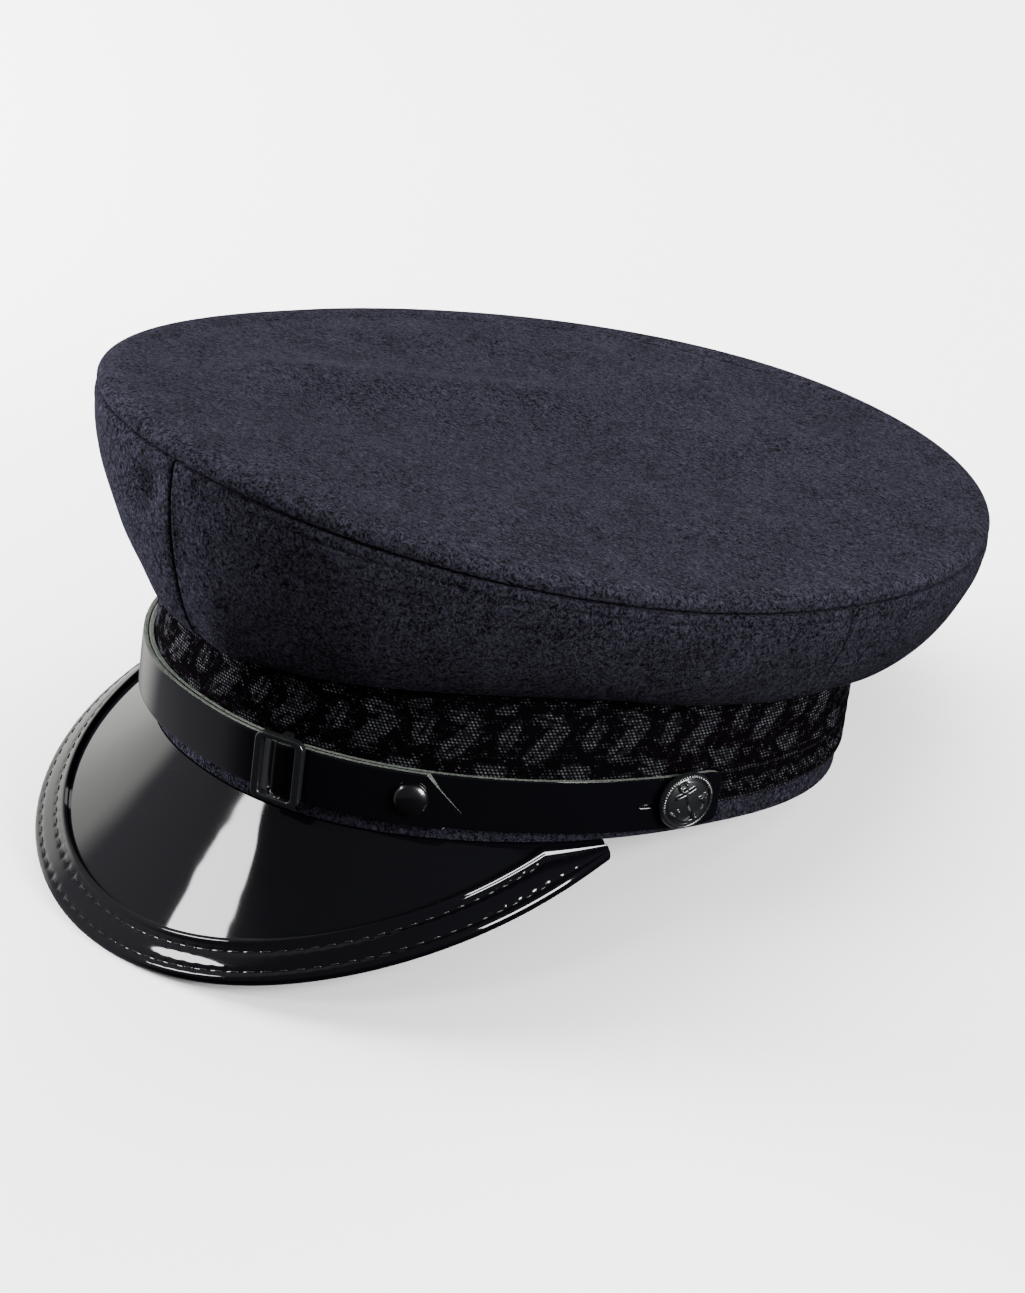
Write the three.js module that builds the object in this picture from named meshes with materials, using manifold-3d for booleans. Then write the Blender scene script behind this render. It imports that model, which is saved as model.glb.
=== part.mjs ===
// A skipper cap: a wide soft wool crown on an upright band, a braid, a gloss peak and a chin strap.
// Millimetres. The cap is modelled upright, with its front towards -Y, the wearer's left towards +X
// and heights counted from the band's bottom edge. It is then tilted back as it lies on a table,
// resting on the edge of the peak and on the back of the band.
import * as THREE from "three";
import { mergeVertices } from "three/addons/utils/BufferGeometryUtils.js";
import Module from "manifold-3d";

const clearance = 0.3; // between pieces that touch
const degree = Math.PI / 180;

// The band follows the head: a rounded oval, narrower at the front.
const band = {
  frontLength: 103,
  backLength: 87.5,
  halfWidth: 87,
  egg: 0.15,
  roundness: 2.27,
  height: 43.5,
  wall: 2.5,
};

const braid = { bottom: 6.9, top: 43.2, thickness: 1.0 };

// The crown's seam runs round the rim, high at the front and low at the back.
const rim = {
  halfLength: 129.9,
  halfWidth: 112.8,
  roundness: 2.1,
  setBack: 7.1,
  frontHeight: 93,
  backHeight: 63.4,
  sideSag: 5.35,
};

const wool = 2.0; // thickness of the crown's cloth

// The edge of the top rolls over the rim: reach inwards and rise above the seam, from the seam up.
const topRoll = [
  { inset: 0.0, rise: 0.0 },
  { inset: 0.1, rise: 1.0 },
  { inset: 1.3, rise: 2.1 },
  { inset: 4.5, rise: 2.8 },
  { inset: 9.0, rise: 3.2 },
];
const topDish = 4.0; // how far the middle of the top sinks below its edge

// A soft ridge runs across the top on the wearer's right, through these points seen from above.
const ridge = {
  line: [[-52, -53], [-47, -32], [-40, -5], [-32, 22], [-23, 52]],
  height: 3.5,
  reach: 12,
  fade: 26,
  middle: 30,
};

// The side panels swell past the seam, turn in and hang a little before they rise to the band.
// Both tables go round from the front centre towards the wearer's left in even steps: where the
// cloth turns in, as a share of its height, and how far below the band's top it is drawn down.
const panelBulge = 3.4;
const panelTurn = [0.57, 0.57, 0.57, 0.33, 0.28, 0.32, 0.36, 0.38, 0.41, 0.45, 0.51, 0.64];
const panelHang = [18.5, 8.3, 0, 13.4, 18.7, 16.5, 15.3, 14.6, 13.5, 10.8, 7.5, 4.2];
const panelUnder = 0.2; // where it hangs lowest, as a share of the way from the band to the rim
const panelSeams = [0, 94, 180, 266, 360]; // degrees from the front centre

const peak = {
  length: 56,
  endAngle: 78.4,
  fullness: 1.75,
  taper: 1.11,
  frontSlope: 57.1,
  sideSlope: 35.8,
  flare: 1.1,
  curl: 0.00155, // rise of the edge for each square millimetre of length
  thickness: 1.5,
  rootOffset: 0.5,
  rootDrop: 1.0,
  smallest: 2.5,
};

const binding = { width: 12.2, thickness: 0.8, bead: 1.6, rootClearance: 0.6 };

const strap = {
  width: 15.3,
  thickness: 1.3,
  sideLift: 2.4,
  frontLift: 4.0,
  endAngle: 90.5,
  hump: 1.9, // the rise over a slide's middle bar
  humpReach: 6.5,
};

// The overlay's ends: where the plain part stops, the upper and lower corners and the tip between.
// On the wearer's right the whole end lies further round.
const overlay = {
  bodyAngle: 40,
  cutTopAngle: 46,
  tipAngle: 52.5,
  tipHeight: 0.33, // share of the width, from the bottom
  cutBottomAngle: 49.3,
  rightShift: 25,
};

const slide = {
  angles: { left: 20.1, right: -58.5 },
  width: 14.2,
  height: 18.2,
  corner: 2.2,
  frame: 1.7,
  rail: 1.1,
  thickness: 1.8,
  middleBar: 2.4,
  middleBarDepth: 1.3,
  barRise: 0.9, // room for the strap where it starts to rise
};

const stud = { angles: { left: 44, right: -69 }, radius: 4.9, height: 2.6, rise: 0.5 };
const button = { angles: { left: 85.5, right: -85.5 }, radius: 8.3, height: 4.2, rise: 1.4, rimWidth: 1.5 };

const pressedFlat = 0.8; // cloth and leather flattened where the cap rests

const wholeTurnSteps = 64;

const navyWool = new THREE.MeshStandardMaterial({ color: 0x1b1f31, roughness: 0.95 });
const blackBraid = new THREE.MeshStandardMaterial({ color: 0x0c0c10, roughness: 0.6 });
const patentBlack = new THREE.MeshStandardMaterial({ color: 0x08080b, roughness: 0.08 });
const lacquer = new THREE.MeshStandardMaterial({ color: 0x0a0a0c, roughness: 0.15, metalness: 0.2 });

const signedPower = (value, power) => Math.sign(value) * Math.abs(value) ** power;

// Angles are in radians from the front centre, growing towards the wearer's left.
function bandPoint(angle, offset, height) {
  const forward = Math.cos(angle);
  const sideways = Math.sin(angle);
  const length = (forward > 0 ? band.frontLength : band.backLength) + offset;
  const width = (band.halfWidth + offset) * (1 - band.egg * forward);
  const power = 2 / band.roundness;
  return new THREE.Vector3(
    width * signedPower(sideways, power),
    -length * signedPower(forward, power),
    height,
  );
}

function rimPoint(angle, inset, height) {
  const power = 2 / rim.roundness;
  return new THREE.Vector3(
    (rim.halfWidth - inset) * signedPower(Math.sin(angle), power),
    rim.setBack - (rim.halfLength - inset) * signedPower(Math.cos(angle), power),
    height,
  );
}

// The height of the crown's seam, and of the surface it spans at a share of the way out.
function seamHeight(angle, share = 1) {
  const middle = (rim.frontHeight + rim.backHeight) / 2;
  const slope = (rim.frontHeight - rim.backHeight) / 2;
  const sag = rim.sideSag * (share * Math.sin(angle)) ** 2;
  return middle + slope * share * Math.cos(angle) - sag;
}

function spread(from, to, steps) {
  return Array.from({ length: steps + 1 }, (_, i) => from + ((to - from) * i) / steps);
}

// A closed solid between two grids of points. Each row of a grid is one section, and closed joins
// the last section to the first.
function wallBetween(outer, inner, closed) {
  const positions = [];
  const triangle = (a, b, c) => {
    const flat = a.equals(b) || b.equals(c) || c.equals(a);
    if (!flat) positions.push(...a.toArray(), ...b.toArray(), ...c.toArray());
  };
  const quad = (a, b, c, d) => {
    triangle(a, b, c);
    triangle(a, c, d);
  };
  const last = outer[0].length - 1;
  const sections = closed ? outer.length : outer.length - 1;
  for (let j = 0; j < sections; j++) {
    const k = (j + 1) % outer.length;
    for (let i = 0; i < last; i++) {
      quad(outer[j][i], outer[j][i + 1], outer[k][i + 1], outer[k][i]);
      quad(inner[j][i], inner[k][i], inner[k][i + 1], inner[j][i + 1]);
    }
    quad(outer[j][0], outer[k][0], inner[k][0], inner[j][0]);
    quad(outer[j][last], inner[j][last], inner[k][last], outer[k][last]);
  }
  if (!closed) {
    const end = outer.length - 1;
    for (let i = 0; i < last; i++) {
      quad(outer[0][i], inner[0][i], inner[0][i + 1], outer[0][i + 1]);
      quad(outer[end][i], outer[end][i + 1], inner[end][i + 1], inner[end][i]);
    }
  }
  const geometry = new THREE.BufferGeometry();
  geometry.setAttribute("position", new THREE.Float32BufferAttribute(positions, 3));
  return geometry;
}

// The normal of a surface given as a function of an angle and a second value.
function normalOf(surface, angle, value) {
  const step = 0.001;
  const across = surface(angle, value + step).sub(surface(angle, value - step));
  const along = surface(angle + step, value).sub(surface(angle - step, value));
  return across.cross(along).normalize();
}

// A sheet of even thickness whose outer face is the surface.
function sheet(surface, angles, values, thickness) {
  const outer = angles.map((angle) => values.map((value) => surface(angle, value)));
  const inner = angles.map((angle) => values.map((value) => {
    const normal = normalOf(surface, angle, value);
    return surface(angle, value).addScaledVector(normal, -thickness);
  }));
  return [outer, inner];
}

const cap = new THREE.Group();

function addMesh(name, geometry, material, parent = cap) {
  const mesh = new THREE.Mesh(geometry, material);
  mesh.name = name;
  parent.add(mesh);
  return mesh;
}

const fullTurn = spread(0, 2 * Math.PI, wholeTurnSteps).slice(0, -1);

// Crown top: the dished middle with its ridge, the rolled edge and the seam allowance's plain inside.
const ridgeCurve = new THREE.CatmullRomCurve3(ridge.line.map(([x, y]) => new THREE.Vector3(x, y, 0)));
const ridgePoints = ridgeCurve.getPoints(24);

function ridgeHeight(x, y) {
  const here = new THREE.Vector3(x, y, 0);
  const gap = Math.min(...ridgePoints.map((point) => point.distanceTo(here)));
  const beyond = Math.max(0, Math.abs(y + rim.setBack) - ridge.middle) / ridge.fade;
  return ridge.height * Math.exp(-((gap / ridge.reach) ** 2) - beyond ** 2);
}

function topRow(angle, depth) {
  const middleSteps = 6;
  const edge = topRoll[topRoll.length - 1];
  const points = [];
  for (let i = 0; i < middleSteps; i++) {
    const share = i / middleSteps;
    const rise = edge.rise - topDish * (1 - share * share) ** 2;
    const outside = rimPoint(angle, edge.inset, 0);
    const x = outside.x * share;
    const y = rim.setBack + (outside.y - rim.setBack) * share;
    const height = seamHeight(angle, share) + rise + ridgeHeight(x, y) - depth;
    points.push(new THREE.Vector3(x, y, height));
  }
  for (const { inset, rise } of [...topRoll].reverse()) {
    const turned = rise === 0 ? 0 : depth * Math.min(1, rise / edge.rise);
    const height = seamHeight(angle) + clearance / 2 + rise - turned;
    points.push(rimPoint(angle, inset + (depth - turned * Math.min(1, rise / 8)), height));
  }
  return points;
}

addMesh("crown_top", wallBetween(
  fullTurn.map((angle) => topRow(angle, 0)),
  fullTurn.map((angle) => topRow(angle, wool)),
  true,
), navyWool);

// Side panels: four quarters that drop from the seam, swell a little and turn in to the band.
function roundTheCap(table, angle) {
  const turns = angle / (2 * Math.PI);
  const place = (turns - Math.floor(turns)) * table.length;
  const step = Math.floor(place);
  const [before, from, to, after] = [-1, 0, 1, 2].map((next) => (
    table[(step + next + table.length) % table.length]
  ));
  const bend = new THREE.CubicBezierCurve(
    new THREE.Vector2(0, from),
    new THREE.Vector2(1 / 3, from + (to - before) / 6),
    new THREE.Vector2(2 / 3, to - (after - from) / 6),
    new THREE.Vector2(1, to),
  );
  return bend.getPoint(place - step).y;
}

function panelSurface(angle, share) {
  const root = band.height + clearance;
  const seam = seamHeight(angle) - clearance / 2;
  const turn = roundTheCap(panelTurn, angle);
  const top = rimPoint(angle, 0, seam);
  const corner = rimPoint(angle, -panelBulge, root + turn * (seam - root));
  const bottom = bandPoint(angle, 2 * clearance + braid.thickness, root);
  const under = bottom.clone().lerp(rimPoint(angle, -panelBulge, root), panelUnder);
  under.z = root - roundTheCap(panelHang, angle);
  return new THREE.CubicBezierCurve3(top, corner, under, bottom).getPoint(share);
}

["side_front_left", "side_back_left", "side_back_right", "side_front_right"].forEach((name, i) => {
  const trim = clearance / 2 / rim.halfWidth;
  const angles = spread(panelSeams[i] * degree + trim, panelSeams[i + 1] * degree - trim, 16);
  const [outer, inner] = sheet(panelSurface, angles, spread(0, 1, 9), wool);
  addMesh(name, wallBetween(outer, inner, false), navyWool);
});

// Upright rings: the band and the braid round it. Where the cap rests, the floor presses them flat.
function ring(offset, thickness, bottom, top) {
  const heights = spread(top, bottom, 2);
  return wallBetween(
    fullTurn.map((angle) => heights.map((height) => bandPoint(angle, offset, height))),
    fullTurn.map((angle) => heights.map((height) => bandPoint(angle, offset - thickness, height))),
    true,
  );
}

const hatBand = addMesh("hat_band", ring(0, band.wall, 0, band.height), navyWool);
addMesh("braid", ring(clearance + braid.thickness, braid.thickness, braid.bottom, braid.top), blackBraid);

// Peak: straight out and down from the band's front, longest in the middle.
function peakLength(angle) {
  const share = Math.abs(angle) / (peak.endAngle * degree);
  return peak.length * (1 - share ** peak.fullness) ** peak.taper;
}

function peakSurface(angle, distance) {
  const out = new THREE.Vector2(
    Math.sin(angle) * peak.flare,
    -(Math.cos(angle) * peak.flare + 1 - peak.flare),
  ).normalize();
  const steepness = (peak.sideSlope - peak.frontSlope) * Math.sin(angle) ** 2 + peak.frontSlope;
  const level = distance * Math.cos(steepness * degree);
  const drop = distance * Math.sin(steepness * degree) - peak.curl * distance ** 2;
  return bandPoint(angle, peak.rootOffset, -peak.rootDrop)
    .add(new THREE.Vector3(out.x * level, out.y * level, -drop));
}

function peakPoint(angle, distance, above) {
  const normal = normalOf(peakSurface, angle, distance);
  return peakSurface(angle, distance).addScaledVector(normal, above);
}

const peakEnd = peak.endAngle * degree
  * (1 - (peak.smallest / peak.length) ** (1 / peak.taper)) ** (1 / peak.fullness);
const peakAngles = spread(-peakEnd, peakEnd, 40);

function peakRow(angle, above) {
  const start = (clearance - peak.rootDrop) / Math.sin(peak.frontSlope * degree);
  return spread(0, 1, 4).map((share) => (
    peakPoint(angle, start + (peakLength(angle) - start) * share, above)
  ));
}

addMesh("peak", wallBetween(
  peakAngles.map((angle) => peakRow(angle, 0)),
  peakAngles.map((angle) => peakRow(angle, -peak.thickness)),
  false,
), patentBlack);

// Binding: a folded strip over the peak's edge, with a rounded bead outside.
function beadPoint(angle, turn, wrap) {
  const reach = clearance + wrap * binding.bead;
  const swell = peak.thickness / 2 + clearance + wrap * binding.thickness;
  return peakPoint(
    angle,
    peakLength(angle) + reach * Math.cos(turn),
    -peak.thickness / 2 + swell * Math.sin(turn),
  );
}

function bindingRow(angle, wrap) {
  const root = Math.max(peakLength(angle) - binding.width, binding.rootClearance);
  const above = clearance + wrap * binding.thickness;
  return [
    peakPoint(angle, root, above),
    ...spread(Math.PI / 2, -Math.PI / 2, 6).map((turn) => beadPoint(angle, turn, wrap)),
    peakPoint(angle, root, -peak.thickness - above),
  ];
}

const peakBinding = addMesh("peak_binding", wallBetween(
  peakAngles.map((angle) => bindingRow(angle, 1)),
  peakAngles.map((angle) => bindingRow(angle, 0)),
  false,
), patentBlack);

// Chin strap: it lies on the braid and rises over the middle bar of each slide.
const strapInside = 2 * clearance + braid.thickness;

function arcFrom(angle, target) {
  return bandPoint(angle, 0, 0).distanceTo(bandPoint(target, 0, 0));
}

function strapHump(angle) {
  const slideAngle = angle > 0 ? slide.angles.left : slide.angles.right;
  const reach = arcFrom(angle, slideAngle * degree) / strap.humpReach;
  return reach < 1 ? strap.hump * Math.cos((reach * Math.PI) / 2) ** 2 : 0;
}

function strapBottom(angle) {
  return strap.sideLift + strap.frontLift * Math.cos(angle);
}

// The angles at which both layers are drawn on one side, closer together round its slide. A layer
// then goes on in even steps to its own end: past says how far a station lies on that way.
function sideStations(side, slideAngle, bodyAngle, flatSteps, pastSteps) {
  const humpAngle = strap.humpReach / arcFrom(slideAngle * degree, (slideAngle + 1) * degree);
  const humpStart = slideAngle - humpAngle;
  const humpEnd = slideAngle + humpAngle;
  return [
    ...spread(0, humpStart, flatSteps).map((angle) => ({ side, angle, past: 0 })),
    ...spread(humpStart, humpEnd, 8).slice(1).map((angle) => ({ side, angle, past: 0 })),
    ...spread(humpEnd, bodyAngle, 3).slice(1).map((angle) => ({ side, angle, past: 0 })),
    ...spread(0, 1, pastSteps).slice(1).map((past) => ({ side, angle: bodyAngle, past })),
  ];
}

function strapStations(leftSteps, rightSteps) {
  const rightBody = overlay.bodyAngle + overlay.rightShift;
  const left = sideStations(1, slide.angles.left, overlay.bodyAngle, 4, leftSteps);
  const right = sideStations(-1, -slide.angles.right, rightBody, 10, rightSteps);
  return [...right.slice(1).reverse(), ...left];
}

// One layer of the strap: each share of its width has its own end.
function strapLayer(offset, stations, shares, endAngle) {
  const row = (depth) => stations.map(({ angle, past, side }) => shares.map((share) => {
    const turn = side * (angle + past * (endAngle(share, side) - angle)) * degree;
    const height = strapBottom(turn) + strap.width * share;
    return bandPoint(turn, offset + strapHump(turn) - depth, height);
  }));
  return wallBetween(row(0), row(strap.thickness), false);
}

addMesh("chin_strap", strapLayer(
  strapInside + strap.thickness,
  strapStations(12, 6),
  [1, 0.5, 0],
  () => strap.endAngle,
), patentBlack);

// Overlay: its ends are cut to a point, with the upper cut the longer.
function overlayEnd(share, side) {
  const below = share < overlay.tipHeight;
  const away = below ? 1 - share / overlay.tipHeight : (share - overlay.tipHeight) / (1 - overlay.tipHeight);
  const corner = below ? overlay.cutBottomAngle : overlay.cutTopAngle;
  const shift = side < 0 ? overlay.rightShift : 0;
  return THREE.MathUtils.lerp(overlay.tipAngle, corner, away) + shift;
}

addMesh("strap_overlay", strapLayer(
  strapInside + 2 * strap.thickness + clearance,
  strapStations(3, 3),
  [1, overlay.tipHeight, 0],
  overlayEnd,
), patentBlack);

// A group that stands on the strap at an angle, with its Z axis pointing outwards and Y up.
function seatOnStrap(angle, offset, rise) {
  const seat = new THREE.Group();
  const height = strapBottom(angle) + strap.width / 2 + rise;
  const here = bandPoint(angle, offset, height);
  const along = bandPoint(angle + 0.001, offset, height).sub(bandPoint(angle - 0.001, offset, height));
  along.normalize();
  const up = new THREE.Vector3(0, 0, 1);
  const outward = along.clone().cross(up);
  seat.applyMatrix4(new THREE.Matrix4().makeBasis(along, up, outward).setPosition(here));
  cap.add(seat);
  return seat;
}

// Slides: a rounded frame in front, rails above and below, and a bar behind the strap.
const wasm = await Module();
wasm.setup();

function toSolid(geometry) {
  const bare = geometry.index ? geometry.toNonIndexed() : geometry.clone();
  bare.deleteAttribute("normal");
  bare.deleteAttribute("uv");
  const merged = mergeVertices(bare, 1e-4);
  return new wasm.Manifold(new wasm.Mesh({
    numProp: 3,
    vertProperties: merged.attributes.position.array,
    triVerts: merged.index.array,
  }));
}

function toGeometry(solid) {
  const mesh = solid.getMesh();
  const geometry = new THREE.BufferGeometry();
  geometry.setAttribute("position", new THREE.BufferAttribute(mesh.vertProperties, 3));
  geometry.setIndex(new THREE.BufferAttribute(mesh.triVerts, 1));
  return geometry;
}

function roundedOutline(path, width, height, corner) {
  const x = width / 2;
  const y = height / 2;
  path.moveTo(x, -y + corner);
  path.absarc(x - corner, y - corner, corner, 0, Math.PI / 2);
  path.absarc(-x + corner, y - corner, corner, Math.PI / 2, Math.PI);
  path.absarc(-x + corner, -y + corner, corner, Math.PI, 1.5 * Math.PI);
  path.absarc(x - corner, -y + corner, corner, 1.5 * Math.PI, 2 * Math.PI);
  return path;
}

function slideGeometry(depth) {
  const face = roundedOutline(new THREE.Shape(), slide.width, slide.height, slide.corner);
  const windowWidth = slide.width - 2 * slide.frame;
  const windowHeight = slide.height - 2 * slide.rail;
  const window = roundedOutline(new THREE.Path(), windowWidth, windowHeight, slide.corner - slide.rail);
  face.holes.push(window);
  const frame = new THREE.ExtrudeGeometry(face, {
    depth: slide.thickness,
    bevelEnabled: false,
    curveSegments: 4,
  });
  frame.translate(0, 0, depth - slide.thickness);
  let solid = toSolid(frame);
  for (const side of [-1, 1]) {
    const rail = new THREE.BoxGeometry(slide.width - 2 * slide.corner, slide.rail, depth);
    rail.translate(0, side * (slide.height - slide.rail) / 2, depth / 2);
    solid = solid.add(toSolid(rail));
  }
  const bar = new THREE.BoxGeometry(slide.middleBar, slide.height - slide.rail, slide.middleBarDepth);
  bar.translate(0, 0, slide.middleBarDepth / 2);
  return toGeometry(solid.add(toSolid(bar)));
}

const strapStack = 2 * strap.thickness + clearance;
const slideDepth = strapStack + 2 * clearance + slide.thickness + slide.barRise;

// Studs and buttons are turned; the profile runs out from the axis along the back and over the face.
function turned(profile, steps) {
  const points = profile.map(([radius, height]) => new THREE.Vector2(radius, height));
  return new THREE.LatheGeometry(points, steps).rotateX(Math.PI / 2);
}

const studProfile = [
  [0, 0],
  [stud.radius * 0.9, 0],
  [stud.radius, stud.height * 0.25],
  [stud.radius * 0.85, stud.height * 0.68],
  [stud.radius * 0.5, stud.height * 0.94],
  [0, stud.height],
];

const buttonField = button.radius - button.rimWidth;
const buttonProfile = [
  [0, 0],
  [button.radius * 0.8, 0],
  [button.radius, button.height * 0.4],
  [button.radius, button.height * 0.55],
  [button.radius - button.rimWidth / 2, button.height * 0.72],
  [buttonField, button.height * 0.62],
  [buttonField * 0.6, button.height * 0.9],
  [0, button.height],
];

for (const label of ["left", "right"]) {
  const slideSeat = seatOnStrap(slide.angles[label] * degree, strapInside, 0);
  addMesh(`slide_${label}`, slideGeometry(slideDepth), lacquer, slideSeat);
  const studOffset = strapInside + strapStack + clearance;
  const studSeat = seatOnStrap(stud.angles[label] * degree, studOffset, stud.rise);
  addMesh(`stud_${label}`, turned(studProfile, 16), lacquer, studSeat);
  const buttonOffset = strapInside + strap.thickness + clearance;
  const buttonSeat = seatOnStrap(button.angles[label] * degree, buttonOffset, button.rise);
  addMesh(`button_${label}`, turned(buttonProfile, 24), lacquer, buttonSeat);
}

// The cap lies tilted on the edge of its peak and the back of its band.
const backFoot = bandPoint(Math.PI, 0, 0);
const frontFoot = beadPoint(0, -50 * degree, 1);
const capTilt = Math.atan2(backFoot.z - frontFoot.z, backFoot.y - frontFoot.y);
const floorUp = new THREE.Vector3(0, -Math.sin(capTilt), Math.cos(capTilt));
const floorHeight = backFoot.dot(floorUp) + pressedFlat;

function pressOnFloor(mesh) {
  const position = mesh.geometry.attributes.position;
  const point = new THREE.Vector3();
  for (let i = 0; i < position.count; i++) {
    point.fromBufferAttribute(position, i);
    const height = point.dot(floorUp) - floorHeight;
    if (height < 0) {
      point.addScaledVector(floorUp, -height);
      position.setXYZ(i, point.x, point.y, point.z);
    }
  }
}

pressOnFloor(hatBand);
pressOnFloor(peakBinding);

cap.rotation.x = -capTilt;
cap.position.z = -floorHeight;

// The origin is under the middle of the whole cap.
const part = new THREE.Group();
part.add(cap);
part.updateMatrixWorld(true);
const extent = new THREE.Box3().setFromObject(part, true);
cap.position.y = -(extent.min.y + extent.max.y) / 2;

export default part;
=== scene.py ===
# Skipper cap: soft navy wool crown, leaf-pattern braid, gloss black peak and chin strap.
# The cap is drawn upright in millimetres, and each piece is laid on the table as it is made. The
# front is towards -Y, the wearer's left is +X and heights count from the band's bottom edge.
import math
import bpy
import bmesh
import numpy as np
from mathutils import Matrix, Vector


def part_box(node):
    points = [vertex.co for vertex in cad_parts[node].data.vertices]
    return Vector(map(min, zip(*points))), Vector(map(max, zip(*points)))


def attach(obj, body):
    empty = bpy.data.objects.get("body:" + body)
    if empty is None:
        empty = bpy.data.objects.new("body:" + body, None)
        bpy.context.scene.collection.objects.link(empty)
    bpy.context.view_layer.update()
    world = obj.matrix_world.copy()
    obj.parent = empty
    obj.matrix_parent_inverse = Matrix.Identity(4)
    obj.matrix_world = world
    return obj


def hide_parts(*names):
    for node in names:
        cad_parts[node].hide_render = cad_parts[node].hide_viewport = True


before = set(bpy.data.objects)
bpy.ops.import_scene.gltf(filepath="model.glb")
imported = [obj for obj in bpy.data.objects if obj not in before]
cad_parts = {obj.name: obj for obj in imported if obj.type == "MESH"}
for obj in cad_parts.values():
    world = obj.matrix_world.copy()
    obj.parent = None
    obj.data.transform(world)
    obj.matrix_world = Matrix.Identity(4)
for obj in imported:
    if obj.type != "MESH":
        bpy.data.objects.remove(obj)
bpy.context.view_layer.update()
print("frame loaded:", len(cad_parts), "nodes")

mm = 0.001
degree = math.pi / 180
clearance = 0.3
pressedFlat = 0.8

band = {
    "frontLength": 103, "backLength": 87.5, "halfWidth": 87, "egg": 0.15, "roundness": 2.27,
    "height": 43.5, "wall": 2.5,
}
rim = {
    "halfLength": 129.9, "halfWidth": 112.8, "roundness": 2.1, "setBack": 7.1,
    "frontHeight": 93, "backHeight": 63.4, "sideSag": 5.35,
}
peak = {
    "length": 56, "endAngle": 78.4, "fullness": 1.75, "taper": 1.11,
    "frontSlope": 57.1, "sideSlope": 35.8, "flare": 1.1, "curl": 0.00155,
    "thickness": 1.5, "rootOffset": 0.5, "rootDrop": 1.0, "smallest": 2.5,
}
binding = {
    "width": 12.2, "thickness": 0.8, "bead": 1.6, "rootClearance": 0.6,
    "rows": (4.1, 10.5), "pitch": 4.6, "stitchLength": 2.3, "stitchWidth": 0.42,
    "rowDepth": 0.2, "dimple": 0.11, "roll": 0.5, "rollWidth": 1.9, "padding": 0.08,
}


# The cap's own curves. Angles are in radians from the front centre, towards the wearer's left.
def signedPower(value, power):
    return np.sign(value) * np.abs(value) ** power


def stack(x, y, z):
    return np.stack(np.broadcast_arrays(x, y, z), axis=-1).astype(float)


def fullTurn(count):
    return np.linspace(0, 2 * math.pi, count, endpoint=False)


def bandPoint(angle, offset, height):
    forward, sideways = np.cos(angle), np.sin(angle)
    length = np.where(forward > 0, band["frontLength"], band["backLength"]) + offset
    width = (band["halfWidth"] + offset) * (1 - band["egg"] * forward)
    power = 2 / band["roundness"]
    return stack(width * signedPower(sideways, power), -length * signedPower(forward, power), height)


def rimPoint(angle, inset, height):
    power = 2 / rim["roundness"]
    x = (rim["halfWidth"] - inset) * signedPower(np.sin(angle), power)
    y = rim["setBack"] - (rim["halfLength"] - inset) * signedPower(np.cos(angle), power)
    return stack(x, y, height)


def seamHeight(angle, share=1.0):
    middle = (rim["frontHeight"] + rim["backHeight"]) / 2
    slope = (rim["frontHeight"] - rim["backHeight"]) / 2
    return middle + slope * share * np.cos(angle) - rim["sideSag"] * (share * np.sin(angle)) ** 2


def peakLength(angle):
    share = np.minimum(np.abs(angle) / (peak["endAngle"] * degree), 1)
    return peak["length"] * (1 - share ** peak["fullness"]) ** peak["taper"]


def peakSurface(angle, distance):
    x = np.sin(angle) * peak["flare"]
    y = -(np.cos(angle) * peak["flare"] + 1 - peak["flare"])
    size = np.hypot(x, y)
    slope = (peak["sideSlope"] - peak["frontSlope"]) * np.sin(angle) ** 2 + peak["frontSlope"]
    level = distance * np.cos(slope * degree)
    drop = distance * np.sin(slope * degree) - peak["curl"] * distance ** 2
    root = bandPoint(angle, peak["rootOffset"], -peak["rootDrop"])
    return root + stack(x / size * level, y / size * level, -drop)


def normalOf(surface, angle, value, step=0.002):
    across = surface(angle, value + step) - surface(angle, value - step)
    along = surface(angle + step, value) - surface(angle - step, value)
    normal = np.cross(across, along)
    return normal / np.linalg.norm(normal, axis=-1, keepdims=True)


def peakPoint(angle, distance, above):
    normal = normalOf(peakSurface, angle, distance)
    return peakSurface(angle, distance) + normal * np.asarray(above)[..., None]


def beadPoint(angle, turn, wrap):
    reach = clearance + wrap * binding["bead"]
    swell = peak["thickness"] / 2 + clearance + wrap * binding["thickness"]
    distance = peakLength(angle) + reach * np.cos(turn)
    return peakPoint(angle, distance, -peak["thickness"] / 2 + swell * np.sin(turn))


# How the cap lies, worked out as the frame's is: on the peak's edge and the back of the band.
backFoot = bandPoint(math.pi, 0, 0)
frontFoot = beadPoint(0.0, -50 * degree, 1)
capTilt = math.atan2(backFoot[2] - frontFoot[2], backFoot[1] - frontFoot[1])
floorUp = np.array([0, -math.sin(capTilt), math.cos(capTilt)])
floorHeight = backFoot @ floorUp + pressedFlat


def tilted(points):
    y = points[..., 1] * math.cos(capTilt) + points[..., 2] * math.sin(capTilt)
    return np.stack([points[..., 0], y, points @ floorUp - floorHeight], axis=-1)


bandEdges = tilted(np.concatenate([bandPoint(fullTurn(64), 0, z) for z in (0, band["height"])]))
bandLow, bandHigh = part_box("hat_band")
bandMiddle = (bandEdges[:, 1].min() + bandEdges[:, 1].max()) / 2
setForward = (bandLow[1] + bandHigh[1]) / 2 / mm - bandMiddle


def onTable(points):
    placed = tilted(np.asarray(points, float))
    placed[..., 1] += setForward
    placed[..., 2] = np.maximum(placed[..., 2], 0)
    return placed * mm


def asLaid(direction):
    vector = np.asarray(direction, float)
    return tilted(vector) - tilted(np.zeros(3))


# Small tools for shapes
def smoothStep(value, low, high):
    share = np.clip((value - low) / (high - low), 0, 1)
    return share * share * (3 - 2 * share)


def bump(value, centre, reach):
    return np.exp(-(((value - centre) / reach) ** 2))


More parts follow.
